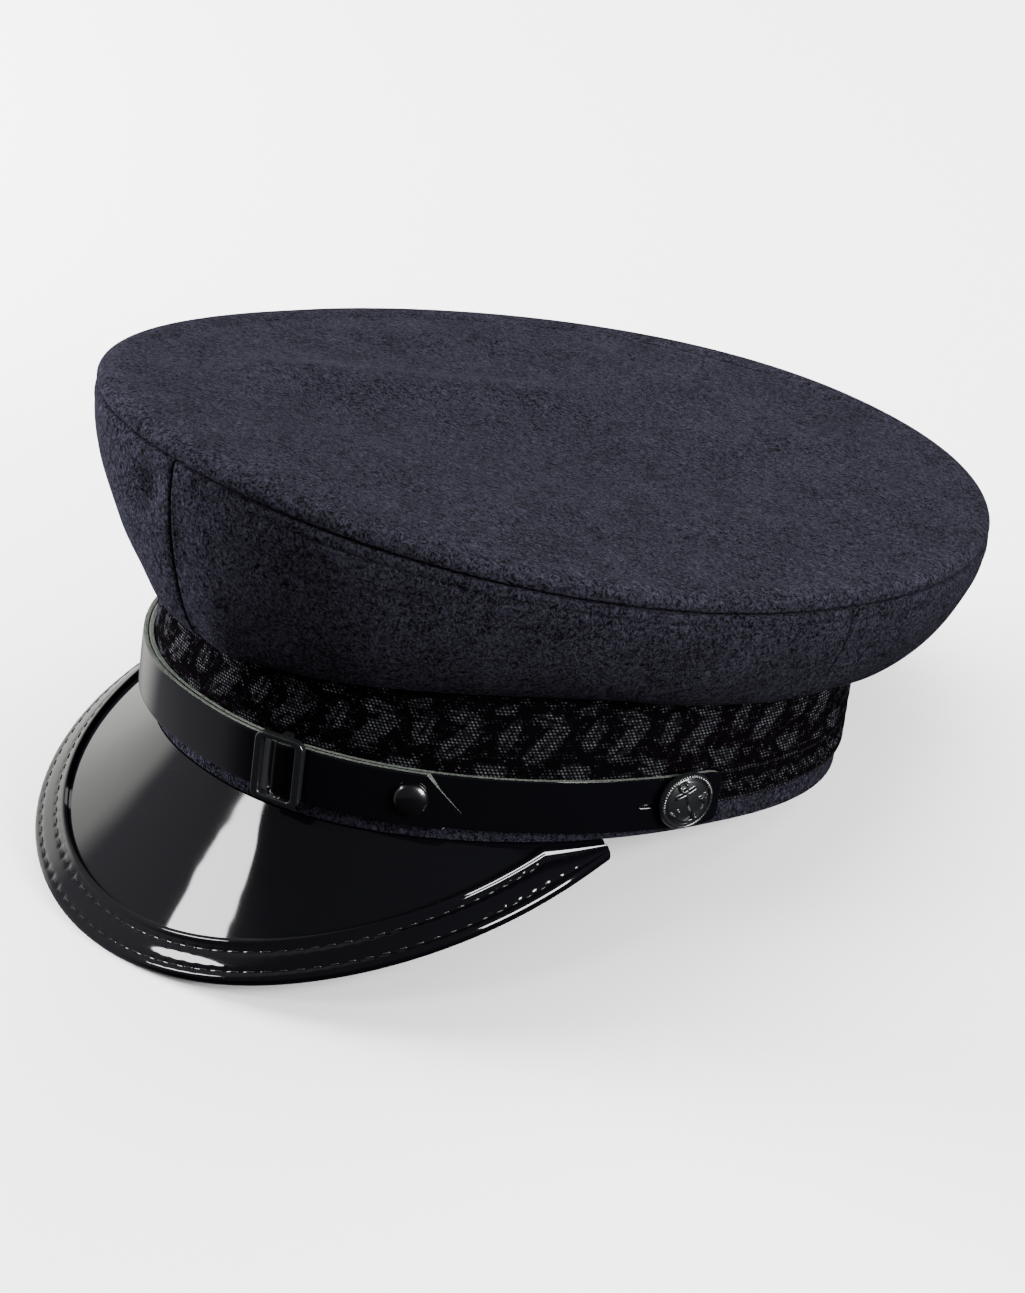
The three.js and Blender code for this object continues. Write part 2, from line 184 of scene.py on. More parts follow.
def curveThrough(points, steps):
    points = np.asarray(points, float)
    slopes = np.gradient(points, axis=0)
    t = np.linspace(0, 1, steps, endpoint=False)[:, None]
    spans = []
    for i in range(len(points) - 1):
        rise = (2 * t ** 3 - 3 * t ** 2 + 1) * points[i] + (3 * t ** 2 - 2 * t ** 3) * points[i + 1]
        turn = (t ** 3 - 2 * t ** 2 + t) * slopes[i] + (t ** 3 - t ** 2) * slopes[i + 1]
        spans.append(rise + turn)
    return np.concatenate(spans + [points[-1:]])


def softWaves(x, y, seed, pitch, count=9):
    draw = np.random.default_rng(seed)
    total = 0
    for _ in range(count):
        heading, phase = draw.uniform(0, 2 * math.pi, 2)
        turn = 2 * math.pi / (pitch * draw.uniform(0.7, 1.6))
        total = total + np.sin(turn * (x * np.cos(heading) + y * np.sin(heading)) + phase)
    return total / math.sqrt(count)


# Faces between sections that are closed loops. Without a full turn, the ends are filled between
# the loop's first outerCount points and the rest, which come back the other way.
def loopFaces(shape, outerCount=None):
    turns, loop = shape[:2]
    a = np.arange(turns if outerCount is None else turns - 1)[:, None] * loop
    b = (a + loop) % (turns * loop)
    j = np.arange(loop)[None, :]
    k = (j + 1) % loop
    faces = np.stack([a + j, b + j, b + k, a + k], axis=-1).reshape(-1, 4).tolist()
    if outerCount is None:
        return faces
    back = loop - outerCount
    pairs = [(j, loop - 1 - min(back - 1, j * back // outerCount)) for j in range(outerCount)]
    for (a, b), (c, d) in zip(pairs[:-1], pairs[1:]):
        first = [a, c, d] if b == d else [a, c, d, b]
        faces.append(first)
        faces.append([(turns - 1) * loop + corner for corner in reversed(first)])
    return faces


def addObject(name, data):
    thing = bpy.data.objects.new(name, data)
    bpy.context.scene.collection.objects.link(thing)
    return thing


def storeValues(mesh, values, kind="FLOAT", field="value"):
    for label, numbers in values.items():
        attribute = mesh.attributes.new(label, kind, "POINT")
        attribute.data.foreach_set(field, np.ravel(numbers).astype(np.float32))


def addPiece(name, sections, materials, outerCount=None, choose=None, values=None, sharp=35):
    mesh = bpy.data.meshes.new(name)
    faces = loopFaces(sections.shape, outerCount)
    mesh.from_pydata(onTable(sections.reshape(-1, 3)).tolist(), [], faces)
    storeValues(mesh, values or {})
    if choose is not None:
        mesh.polygons.foreach_set("material_index", np.ravel(choose).astype(np.int32))
    for material in materials:
        mesh.materials.append(material)
    mesh.update()
    work = bmesh.new()
    work.from_mesh(mesh)
    bmesh.ops.remove_doubles(work, verts=work.verts, dist=0.004 * mm)
    bmesh.ops.dissolve_degenerate(work, edges=work.edges, dist=0.001 * mm)
    if work.calc_volume(signed=True) < 0:
        bmesh.ops.reverse_faces(work, faces=work.faces)
    work.to_mesh(mesh)
    work.free()
    mesh.shade_smooth()
    mesh.set_sharp_from_angle(angle=sharp * degree)
    return addObject(name, mesh)


def settle(piece, node):
    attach(piece, "root")
    if node:
        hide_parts(node)
    piece.data.update()
    print("made", piece.name, len(piece.data.polygons), "faces")


# Materials
def toLinear(hexCode):
    parts = [int(hexCode[i:i + 2], 16) / 255 for i in (1, 3, 5)]
    return [v / 12.92 if v <= 0.04045 else ((v + 0.055) / 1.055) ** 2.4 for v in parts] + [1.0]


def addNode(tree, kind, settings=None, inputs=None):
    node = tree.nodes.new(kind)
    for key, value in (settings or {}).items():
        setattr(node, key, value)
    for key, value in (inputs or {}).items():
        if isinstance(value, bpy.types.NodeSocket):
            tree.links.new(value, node.inputs[key])
        else:
            node.inputs[key].default_value = value
    return node


def newMaterial(name, finish):
    material = bpy.data.materials.new(name)
    material.use_nodes = True
    tree = material.node_tree
    shader = tree.nodes["Principled BSDF"]
    for key, value in finish.items():
        shader.inputs[key].default_value = value
    return material, tree, shader


def objectPlace(tree):
    return addNode(tree, "ShaderNodeTexCoord").outputs["Object"]


def blendColors(tree, share, low, high):
    mix = addNode(tree, "ShaderNodeMix", {"data_type": "RGBA"}, {0: share})
    mix.inputs[6].default_value = toLinear(low)
    mix.inputs[7].default_value = toLinear(high)
    return mix.outputs[2]


def combine(tree, operation, *terms):
    return addNode(tree, "ShaderNodeMath", {"operation": operation}, dict(enumerate(terms))).outputs[0]


def noiseOf(tree, place, scale, detail, roughness=0.5):
    return addNode(tree, "ShaderNodeTexNoise", None, {
        "Vector": place, "Scale": scale, "Detail": detail, "Roughness": roughness}).outputs


def between(tree, value, limits):
    return addNode(tree, "ShaderNodeMapRange", None, {
        "Value": value, "From Min": limits[0], "From Max": limits[1]}).outputs[0]


def giveRelief(tree, shader, height, depth, strength=1.0):
    relief = addNode(tree, "ShaderNodeBump", None, {
        "Height": height, "Distance": depth * mm, "Strength": strength})
    tree.links.new(relief.outputs[0], shader.inputs["Normal"])


# dark and light are painted shade in the nap's hollows and painted light on its tips, over a random cloud
# of tone.
wool = {
    "thickness": 2.0, "dark": "#060607", "light": "#2b2a34", "fibre": 0.85, "tuft": 2.2, "cloud": 16.0,
    "tangle": 2.2, "tuftShare": 0.3, "cloudShare": 0.12, "shadedHollowToLitTip": (0.58, 0.86), "nap": 1.4,
}


# Melton wool, milled and raised until the weave is hidden: matt, with a nap of short tangled tufts
# that stand above hollows; the colour has painted shade in the hollows and painted light on the tips.
def makeWool():
    material, tree, shader = newMaterial("meltonWool", {"Roughness": 0.95, "Specular IOR Level": 0.02})
    place = objectPlace(tree)
    twist = noiseOf(tree, place, 1000 / wool["tuft"], 1.0)["Color"]
    bent = addNode(tree, "ShaderNodeVectorMath", {"operation": "MULTIPLY_ADD"}, {
        0: twist, 1: (wool["tangle"] * mm,) * 3, 2: place}).outputs[0]
    tuft = noiseOf(tree, bent, 1000 / wool["tuft"], 3.0, 0.6)[0]
    fibre = noiseOf(tree, bent, 1000 / wool["fibre"], 3.0, 0.7)[0]
    cloud = noiseOf(tree, place, 1000 / wool["cloud"], 2.0)[0]
    shade = combine(tree, "MULTIPLY_ADD", cloud, wool["cloudShare"], fibre)
    height = combine(tree, "MULTIPLY_ADD", tuft, wool["tuftShare"], shade)
    # Painted shade and light: the colour darkens into the nap's hollows and lightens on the tufts' tips.
    share = between(tree, height, wool["shadedHollowToLitTip"])
    tree.links.new(blendColors(tree, share, wool["dark"], wool["light"]), shader.inputs["Base Color"])
    giveRelief(tree, shader, height, wool["nap"])
    return material


patent = {"color": "#050507", "roughness": 0.05, "waviness": 0.4, "strength": 0.3, "wavePitch": 22.0}


# Patent leather: black lacquer poured over leather, mirror bright with slow waves in the film.
def makePatent():
    material, tree, shader = newMaterial("patentLeather", {
        "Base Color": toLinear(patent["color"]), "Roughness": patent["roughness"], "IOR": 1.5})
    film = noiseOf(tree, objectPlace(tree), 1000 / patent["wavePitch"], 1.5)[0]
    giveRelief(tree, shader, film, patent["waviness"], patent["strength"])
    return material


cutEdge = {"dark": "#2a2d2a", "light": "#585d56", "fibre": 0.6, "darkToLight": (0.35, 0.65), "depth": 0.15}


# The raw cut of the leather, grey-green and fibrous where the knife went through.
def makeCutEdge():
    material, tree, shader = newMaterial("cutLeatherEdge", {"Roughness": 0.8})
    fibre = noiseOf(tree, objectPlace(tree), 1000 / cutEdge["fibre"], 4.0)[0]
    share = between(tree, fibre, cutEdge["darkToLight"])
    color = blendColors(tree, share, cutEdge["dark"], cutEdge["light"])
    tree.links.new(color, shader.inputs["Base Color"])
    giveRelief(tree, shader, fibre, cutEdge["depth"])
    return material


# The studs' colour is a darker copy of the same lacquer: painted shade, with the same roughness and coat.
lacquer = {"color": "#111213", "roughness": 0.28, "coatRoughness": 0.06, "shadedColor": "#030304"}


# Japanned brass, stoved black: satin beneath, with a clear hard gloss over it.
def makeLacquer(name, color):
    return newMaterial(name, {
        "Base Color": toLinear(color), "Roughness": lacquer["roughness"], "IOR": 1.5,
        "Coat Weight": 1.0, "Coat Roughness": lacquer["coatRoughness"],
    })[0]


# paintedGlint is a painted highlight colour, laid on the satin floats.
braid = {
    "bottom": 6.9, "top": 43.2, "thickness": 1.0, "borderLine": 15.9, "repeats": 26, "relief": 0.14,
    "ground": "#040304", "thread": "#0a0a0c", "paintedGlint": "#4e4e53", "row": 0.9, "stitch": 1.1,
    "slant": 2.9, "patch": 2.5, "leafShare": 0.13, "groundToLeaf": (0.53, 0.74),
    "gapToFloat": (0.2, 1.7), "floatDepth": 0.06,
}


# Jacquard mohair braid: rows of short satin floats make the leaves, on a dull black ground. Their
# glints are painted highlights, bright dots in the base colour, as the braid has no specular.
def makeBraid():
    material, tree, shader = newMaterial("jacquardBraid", {"Roughness": 0.6, "Specular IOR Level": 0.0})
    leaf, along, up = (addNode(tree, "ShaderNodeAttribute", {"attribute_name": name}).outputs["Fac"]
                       for name in ("leaf", "along", "up"))
    spot = addNode(tree, "ShaderNodeCombineXYZ", None, {0: along, 1: up}).outputs[0]
    patch = noiseOf(tree, spot, 1 / braid["patch"], 5.0, 0.75)[0]
    row = combine(tree, "SINE", combine(tree, "MULTIPLY", up, 2 * math.pi / braid["row"]))
    stitch = combine(tree, "MULTIPLY", along, 2 * math.pi / braid["stitch"])
    stitch = combine(tree, "SINE", combine(tree, "MULTIPLY_ADD", up, braid["slant"], stitch))
    floats = combine(tree, "ADD", row, stitch)
    ragged = combine(tree, "MULTIPLY_ADD", leaf, braid["leafShare"], patch)
    shine = between(tree, ragged, braid["groundToLeaf"])
    lit = combine(tree, "MULTIPLY", between(tree, floats, braid["gapToFloat"]), shine)
    base = blendColors(tree, leaf, braid["ground"], braid["thread"])
    # Painted highlight: the floats' glint colour is mixed into the base colour.
    color = addNode(tree, "ShaderNodeMix", {"data_type": "RGBA"}, {
        0: lit, 6: base, 7: toLinear(braid["paintedGlint"])})
    tree.links.new(color.outputs[2], shader.inputs["Base Color"])
    giveRelief(tree, shader, combine(tree, "MULTIPLY", floats, leaf), braid["floatDepth"])
    return material


thread = {"color": "#0c0c0e", "roughness": 0.35, "plies": 1200.0, "depth": 0.05}


# Waxed black sewing thread, round and a little bright.
def makeThread():
    material, tree, shader = newMaterial("waxedThread", {
        "Base Color": toLinear(thread["color"]), "Roughness": thread["roughness"]})
    ply = addNode(tree, "ShaderNodeTexWave", None, {
        "Vector": objectPlace(tree), "Scale": thread["plies"], "Distortion": 1.0})
    giveRelief(tree, shader, ply.outputs["Fac"], thread["depth"], 0.6)
    return material


meltonWool = makeWool()
patentLeather = makePatent()
leatherEdge = makeCutEdge()
stovedLacquer = makeLacquer("stovedLacquer", lacquer["color"])
# The studs' material: the same lacquer darkened, as painted shade.
shadedLacquer = makeLacquer("shadedLacquer", lacquer["shadedColor"])
jacquardBraid = makeBraid()
waxedThread = makeThread()
print("materials made")


# Crown top: the dished middle with a soft ridge, then the edge that rolls over into the seam, and
# a lip behind the seam that keeps light out. The roll's points are insets and heights.
crown = {
    "roll": ((10.0, 4.6), (6.5, 4.8), (3.8, 4.7), (1.8, 4.2), (0.4, 3.3), (-0.3, 2.2), (-0.4, 1.2),
             (-0.1, 0.45), (0.8, 0.05), (2.5, 0.0), (2.8, -1.5)),
    "inside": ((10.0, 2.6), (7.2, 2.7), (5.2, 2.3), (4.4, 0.8), (4.4, -1.5)),
    "dish": 5.4, "turns": 300, "rings": 60, "rollSteps": 5,
    "ridge": ((-52, -53), (-47, -32), (-40, -5), (-32, 22), (-23, 52)),
    "ridgeHeight": 3.5, "ridgeReach": 12.0, "ridgeMiddle": 30.0, "ridgeFade": 26.0,
    "waves": 0.5, "wavePitch": 46.0,
}


def crownRelief(x, y):
    line = curveThrough(crown["ridge"], 8)
    gap = np.hypot(x[..., None] - line[:, 0], y[..., None] - line[:, 1]).min(axis=-1)
    beyond = np.maximum(0, np.abs(y + rim["setBack"]) - crown["ridgeMiddle"]) / crown["ridgeFade"]
    ridge = crown["ridgeHeight"] * bump(gap, 0, crown["ridgeReach"]) * np.exp(-beyond ** 2)
    return ridge + crown["waves"] * softWaves(x, y, 4, crown["wavePitch"])


def crownRow(angle, roll, depth):
    share = np.sin(np.linspace(0, math.pi / 2, crown["rings"], endpoint=False)) ** 0.9
    edge = crown["roll"][0]
    shares, angles = np.meshgrid(share, angle)
    rise = edge[1] - crown["dish"] * (1 - shares ** 2) ** 2
    outside = rimPoint(angles, edge[0], 0)
    x = outside[..., 0] * shares
    y = rim["setBack"] + (outside[..., 1] - rim["setBack"]) * shares
    height = seamHeight(angles, shares) + rise - depth
    height = height + crownRelief(x, y) * smoothStep(1 - shares, 0, 0.25)
    middle = np.stack([x, y, height], axis=-1)
    inset, lift = np.asarray(roll).T
    angles, insets = np.meshgrid(angle, inset, indexing="ij")
    edgeHeight = seamHeight(angles) + clearance / 2 + lift
    return np.concatenate([middle, rimPoint(angles, insets, edgeHeight)], axis=1)


turns = fullTurn(crown["turns"])
outside = crownRow(turns, curveThrough(crown["roll"], crown["rollSteps"]), 0)
inside = crownRow(turns, crown["inside"], wool["thickness"])
sections = np.concatenate([outside, inside[:, ::-1]], axis=1)
settle(addPiece("crown_top_melton", sections, [meltonWool]), "crown_top")


# Side panels: each hangs from the rim seam, swells past it, turns in and rises to the band. The
# turn (a share of the height) and the hang below the band's top go round from the front centre.
panel = {
    "bulge": 3.4, "under": 0.2, "seams": (0, 94, 180, 266, 360),
    "turn": (0.57, 0.57, 0.57, 0.33, 0.28, 0.32, 0.36, 0.38, 0.41, 0.45, 0.51, 0.64),
    "hang": (18.5, 8.3, 0, 13.4, 18.7, 16.5, 15.3, 14.6, 13.5, 10.8, 7.5, 4.2),
    "names": ("side_front_left", "side_back_left", "side_back_right", "side_front_right"),
    "steps": 110, "seamRows": 22, "rows": 60, "edgeRound": 0.6, "seamRound": 1.1,
    "allowance": 3.4, "step": 0.3, "groove": 0.5, "waves": 0.35, "wavePitch": 30.0,
    "grooveFrom": (6, 20), "grooveTo": (80, 110),
    "bumps": (  # degrees from the front, down from the seam, reach each way, height
        (-4.6, 12.3, 2.6, 6.5, -2.4), (-7.0, 4.0, 6.0, 1.9, 0.9), (-0.8, 9.0, 1.3, 6.0, 0.3),
        (2.5, 24.0, 2.0, 9.0, -0.4), (-12.0, 24.0, 4.0, 12.0, 0.5),
    ),
}


def roundTheCap(table, angle):
    table = np.asarray(table, float)
    place = (np.asarray(angle) / (2 * math.pi) * len(table)) % len(table)
    step = np.floor(place).astype(int)
    t = place - step
    a, b, c, d = (table[(step + i) % len(table)] for i in (-1, 0, 1, 2))
    return b + ((c - a) * t + (2 * a - 5 * b + 4 * c - d) * t ** 2 + (3 * b - a - 3 * c + d) * t ** 3) / 2


def panelSurface(angle, share):
    root = band["height"] + clearance
    seam = seamHeight(angle) - clearance / 2
    turn = roundTheCap(panel["turn"], angle)
    top = rimPoint(angle, 0, seam)
    corner = rimPoint(angle, -panel["bulge"], root + turn * (seam - root))
    bottom = bandPoint(angle, 2 * clearance + braid["thickness"], root)
    under = bottom + panel["under"] * (rimPoint(angle, -panel["bulge"], root) - bottom)
    under[..., 2] = root - roundTheCap(panel["hang"], angle)
    s = np.asarray(share)[..., None]
    return ((1 - s) ** 3 * top + 3 * s * (1 - s) ** 2 * corner + 3 * s ** 2 * (1 - s) * under
            + s ** 3 * bottom)


def roundedOff(distance, radius):
    left = np.clip(radius - distance, 0, radius)
    return radius - np.sqrt(radius ** 2 - left ** 2)


def makePanel(name, start, end):
    trim = clearance / 2 / rim["halfWidth"]
    edges = np.array([0, 0.15, 0.4, 0.8, 1.4]) / rim["halfWidth"]
    first, last = start + trim, end - trim
    between = np.linspace(first + 0.02, last - 0.02, panel["steps"])
    angle = np.concatenate([first + edges, between, last - edges[::-1]])
    nearSeam = np.linspace(0.018, 0.12, panel["seamRows"])
    share = np.concatenate([[0, 0.004, 0.01], nearSeam, np.linspace(0.13, 1, panel["rows"])])
    angles, shares = np.meshgrid(angle, share, indexing="ij")
    face = panelSurface(angles, shares)
    normals = normalOf(panelSurface, angles, np.clip(shares, 0.004, 0.996))
    down = np.linalg.norm(np.diff(face, axis=1), axis=-1).cumsum(axis=1)
    down = np.concatenate([np.zeros((len(angle), 1)), down], axis=1)
    along = np.minimum(angles - first, last - angles) * rim["halfWidth"]
    sunk = np.maximum(roundedOff(along, panel["edgeRound"]), roundedOff(down, panel["seamRound"]))
    turned = (np.degrees(angles) + 180) % 360 - 180
    relief = panel["step"] * (1 - smoothStep(down, panel["allowance"] - 0.4, panel["allowance"] + 0.9))
    sewn = smoothStep(turned, *panel["grooveFrom"]) * (1 - smoothStep(turned, *panel["grooveTo"]))
    relief = relief - panel["groove"] * bump(down, panel["allowance"], 0.55) * sewn
    for place, depth, wide, deep, high in panel["bumps"]:
        relief = relief + high * bump(turned, place, wide) * bump(down, depth, deep)
    ripple = softWaves(angles * rim["halfWidth"], down, 7, panel["wavePitch"])
    relief = relief + panel["waves"] * ripple * smoothStep(down, 3, 14)
    relief = relief * smoothStep(along, 0, 2) * smoothStep(down, 0, 1.5)
    relief = relief * smoothStep(down[:, -1:] - down, 0, 8)
    outer = face + normals * (relief - sunk)[..., None]
    inner = face[:, ::3] - normals[:, ::3] * wool["thickness"]
    loop = np.concatenate([outer, inner[:, ::-1]], axis=1)
    settle(addPiece(name + "_melton", loop, [meltonWool], outer.shape[1]), name)


for name, start, end in zip(panel["names"], panel["seams"], panel["seams"][1:]):
    makePanel(name, start * degree, end * degree)


# Band: a stiff upright ring of wool, its lower edge rounded where the cloth turns under.
def arcPoints(centre, radius, start, end, count):
    turn = np.linspace(start, end, count) * degree
    return [(centre[0] + radius * math.cos(t), centre[1] + radius * math.sin(t)) for t in turn]


def makeRing(angle, profile):
    offset, height = np.asarray(profile).T
    angles, offsets = np.meshgrid(angle, offset, indexing="ij")
    return bandPoint(angles, offsets, np.broadcast_to(height, angles.shape))


half = band["wall"] / 2
fold = 0.5
profile = [(0, z) for z in np.linspace(band["height"] - half, fold, 16)]
profile += arcPoints((-fold, fold), fold, 0, -90, 5)[1:]
profile += arcPoints((fold - band["wall"], fold), fold, -90, -180, 5)
profile += [(-band["wall"], z) for z in np.linspace(fold, band["height"] - half, 8)[1:]]
profile += arcPoints((-half, band["height"] - half), half, 180, 0, 9)[1:-1]
sections = makeRing(fullTurn(480), profile)
settle(addPiece("hat_band_melton", sections, [meltonWool]), "hat_band")


# Braid: leaves in satin rows stand a little proud of the ground.
def leafAt(u, v, size, width, lobes):
    share = np.clip(u / size, 0, 1)
    lobe = 0.66 + 0.34 * np.abs(np.cos(math.pi * lobes * share))
    edge = width * np.sin(math.pi * share ** 0.8) ** 0.75 * lobe
    inside = smoothStep(edge - np.abs(v), -0.25, 0.25) * (u > 0) * (u < size)
    vein = smoothStep(np.abs(v), 0.15, 0.5)
    return inside * vein


leaves = (  # along, up, turned by degrees, length, half width, lobes
    (1.0, 24.0, 40, 13.0, 3.0, 4),
    (12.5, 34.0, -148, 10.5, 2.6, 3),
    (11.0, 22.5, -24, 10.0, 2.6, 3),
    (2.5, 37.5, -14, 11.0, 2.2, 3),
    (17.5, 27.0, 66, 11.0, 2.5, 4),
    (20.5, 22.0, 195, 7.0, 2.0, 2),
    (5.0, 18.5, 8, 6.0, 1.3, 1),
    (14.5, 38.5, 12, 7.0, 1.5, 2),
)


def leafRow(along, up, place, every, turn, form, back=0.0):
    ahead = (along - place[0] + every / 2) % every - every / 2
    c, s = math.cos(turn * degree), math.sin(turn * degree)
    drawn = np.zeros_like(along)
    for shift in (-every, 0, every):
        a, b = ahead + shift, up - place[1]
        drawn = np.maximum(drawn, leafAt(a * c + b * s + back, b * c - a * s, *form))
    return drawn


def braidPattern(along, up, length):
    repeat = length / braid["repeats"]
    total = np.zeros_like(along)
    for x, y, turn, *form in leaves:
        total = np.maximum(total, leafRow(along, up, (x, y), repeat, turn, form))
    total = total * smoothStep(up, braid["borderLine"] + 1.2, braid["borderLine"] + 1.6)
    small, middle = repeat / 3, (braid["bottom"] + braid["borderLine"]) / 2
    for x, turn in ((0.0, 48), (small / 2, -48)):
        total = np.maximum(total, leafRow(along, up, (x, middle), small, turn, (5.2, 1.5, 1), 2.6))
    for line in (braid["borderLine"], braid["bottom"] + 0.8):
        total = np.maximum(total * (1 - bump(up, line, 0.9)), bump(up, line, 0.3))
    return total


fineTurns = fullTurn(1160)
heights = np.linspace(braid["top"] - 0.2, braid["bottom"] + 0.2, 66)
ringAt = bandPoint(fineTurns, clearance + braid["thickness"], 0)
stepLengths = np.linalg.norm(np.roll(ringAt, -1, axis=0) - ringAt, axis=-1)
along = np.concatenate([[0], stepLengths.cumsum()[:-1]])
alongs, ups = np.meshgrid(along, heights, indexing="ij")
pattern = braidPattern(alongs, ups, stepLengths.sum())
offsets = clearance + braid["thickness"] - braid["relief"] * (1 - pattern)
offsets = offsets - 0.25 * bump(ups, braid["borderLine"] - 0.9, 0.5)
angles = np.broadcast_to(fineTurns[:, None], alongs.shape)
outer = bandPoint(angles, offsets, ups)
backProfile = [
    (0.9, braid["bottom"]), (clearance, braid["bottom"] + 0.1),
    (clearance, braid["top"] - 0.1), (0.9, braid["top"]),
]
inner = makeRing(fineTurns, backProfile)
sections = np.concatenate([outer, inner], axis=1)
fill = np.zeros((len(fineTurns), len(backProfile)))
values = {
    "leaf": np.concatenate([pattern, fill], axis=1),
    "along": np.concatenate([alongs, fill], axis=1),
    "up": np.concatenate([ups, fill], axis=1),
}
settle(addPiece("leaf_braid", sections, [jacquardBraid], values=values), "braid")


# Peak: a curved sheet of patent leather, with a tab behind the band's edge that keeps light out.
endShare = (1 - (peak["smallest"] / peak["length"]) ** (1 / peak["taper"])) ** (1 / peak["fullness"])
peakEnd = peak["endAngle"] * degree * endShare
peakTurns = np.linspace(-peakEnd, peakEnd, 260)
start = (clearance - peak["rootDrop"]) / math.sin(peak["frontSlope"] * degree)
angles, shares = np.meshgrid(peakTurns, np.linspace(0, 1, 56), indexing="ij")
distances = start + (peakLength(angles) - start) * shares
upper = peakPoint(angles, distances, np.zeros_like(angles))
lower = peakPoint(angles, distances, np.full_like(angles, -peak["thickness"]))
tab = np.stack([bandPoint(peakTurns, -2.2, height) for height in (-1.4, -clearance)], axis=1)
sections = np.concatenate([upper, lower[:, ::-1], tab], axis=1)
settle(addPiece("peak_patent", sections, [patentLeather], upper.shape[1]), "peak")


# Binding: folded over the edge, rolled at its inner side, with two sewn rows that pull it down.
bindingTurns = np.linspace(-peakEnd, peakEnd, 640)
edgeLine = peakPoint(bindingTurns, peakLength(bindingTurns), np.zeros_like(bindingTurns))
edgeSteps = np.linalg.norm(np.diff(edgeLine, axis=0), axis=-1)
edgeRun = np.concatenate([[0], edgeSteps.cumsum()])


def bindingLift(across, run):
    lift = binding["roll"] * np.clip(1 - ((across - 1.0) / binding["rollWidth"] * 1.7) ** 2, 0, 1) ** 0.5
    first, second = binding["rows"]
    lift = lift + binding["padding"] * bump(across, (first + second) / 2, 2.6)
    for i, row in enumerate(binding["rows"]):
        stitch = 0.5 + 0.5 * np.cos(2 * math.pi * (run / binding["pitch"] + i / 2))
        lift = lift - binding["rowDepth"] * bump(across, row, 0.9)
        lift = lift - binding["dimple"] * bump(across, row, 1.1) * stitch ** 3
    return lift


def bindingAbove(lift, side):
    if side > 0:
        return clearance + binding["thickness"] + lift
    return -peak["thickness"] - clearance - binding["thickness"] - lift * 0.6


def bindingFace(angles, runs, side):
    across = np.concatenate([np.linspace(0, 2.4, 9), np.linspace(2.8, 11.6, 33), [binding["width"]]])
    root = np.maximum(peakLength(angles) - binding["width"], binding["rootClearance"])[:, None]
    share = across / binding["width"]
    distance = root + (peakLength(angles)[:, None] - root) * share
    narrow = ((peakLength(angles)[:, None] - root) / binding["width"]).clip(0, 1)
    lift = bindingLift(across[None, :], runs[:, None]) * narrow
    lift = lift * smoothStep(binding["width"] - across, 0, 1.2)
    wide = np.broadcast_to(angles[:, None], distance.shape)
    return peakPoint(wide, distance, bindingAbove(lift, side))


def beadRow(angles, wrap, count):
    swing = np.linspace(math.pi / 2, -math.pi / 2, count)[1:-1]
    grid, swings = np.meshgrid(angles, swing, indexing="ij")
    return beadPoint(grid, swings, wrap)


over = bindingFace(bindingTurns, edgeRun, 1)
under = bindingFace(bindingTurns, edgeRun, -1)[:, ::-1]
root = np.maximum(peakLength(bindingTurns) - binding["width"], binding["rootClearance"])
lowIn = peakPoint(bindingTurns, root, np.full_like(root, -peak["thickness"] - clearance))[:, None]
highIn = peakPoint(bindingTurns, root, np.full_like(root, clearance))[:, None]
tips = beadRow(bindingTurns, 1, 15)
fold = beadRow(bindingTurns, 0, 9)[:, ::-1]
loop = np.concatenate([over, tips, under, lowIn, fold, highIn], axis=1)
outerCount = over.shape[1] + tips.shape[1] + under.shape[1]
edgeFold = addPiece("peak_binding_patent", loop, [patentLeather], outerCount)
settle(edgeFold, "peak_binding")


# Stitches: one capsule at each point of a row, laid along it by Geometry Nodes.
def makeStitchTree():
    tree = bpy.data.node_groups.new("bindingStitches", "GeometryNodeTree")
    kinds = {"Geometry": "Geometry", "Length": "Float", "Width": "Float", "Thread": "Material"}
    for label, kind in kinds.items():
        tree.interface.new_socket(label, in_out="INPUT", socket_type="NodeSocket" + kind)
    tree.interface.new_socket("Geometry", in_out="OUTPUT", socket_type="NodeSocketGeometry")
    given = addNode(tree, "NodeGroupInput").outputs
    row = addNode(tree, "GeometryNodeMeshToCurve", None, {"Mesh": given["Geometry"]})
    out = addNode(tree, "GeometryNodeInputNamedAttribute", {"data_type": "FLOAT_VECTOR"}, {
        "Name": "out"})
    tangent = addNode(tree, "GeometryNodeInputTangent")
    lie = addNode(tree, "FunctionNodeAxesToRotation", {"primary_axis": "Z", "secondary_axis": "X"}, {
        "Primary Axis": out.outputs["Attribute"], "Secondary Axis": tangent.outputs[0]})
    ball = addNode(tree, "GeometryNodeMeshUVSphere", None, {"Segments": 8, "Rings": 6, "Radius": 0.5})
    size = addNode(tree, "ShaderNodeCombineXYZ", None, {
        0: given["Length"], 1: given["Width"], 2: given["Width"]})
    capsule = addNode(tree, "GeometryNodeTransform", None, {
        "Geometry": ball.outputs["Mesh"], "Scale": size.outputs[0]})
    rowOf = addNode(tree, "GeometryNodeInstanceOnPoints", None, {
        "Points": row.outputs[0], "Instance": capsule.outputs[0], "Rotation": lie.outputs[0]})
    real = addNode(tree, "GeometryNodeRealizeInstances", None, {0: rowOf.outputs[0]})
    smooth = addNode(tree, "GeometryNodeSetShadeSmooth", None, {0: real.outputs[0]})
    dressed = addNode(tree, "GeometryNodeSetMaterial", None, {
        "Geometry": smooth.outputs[0], "Material": given["Thread"]})
    addNode(tree, "NodeGroupOutput", None, {0: dressed.outputs[0]})
    return tree


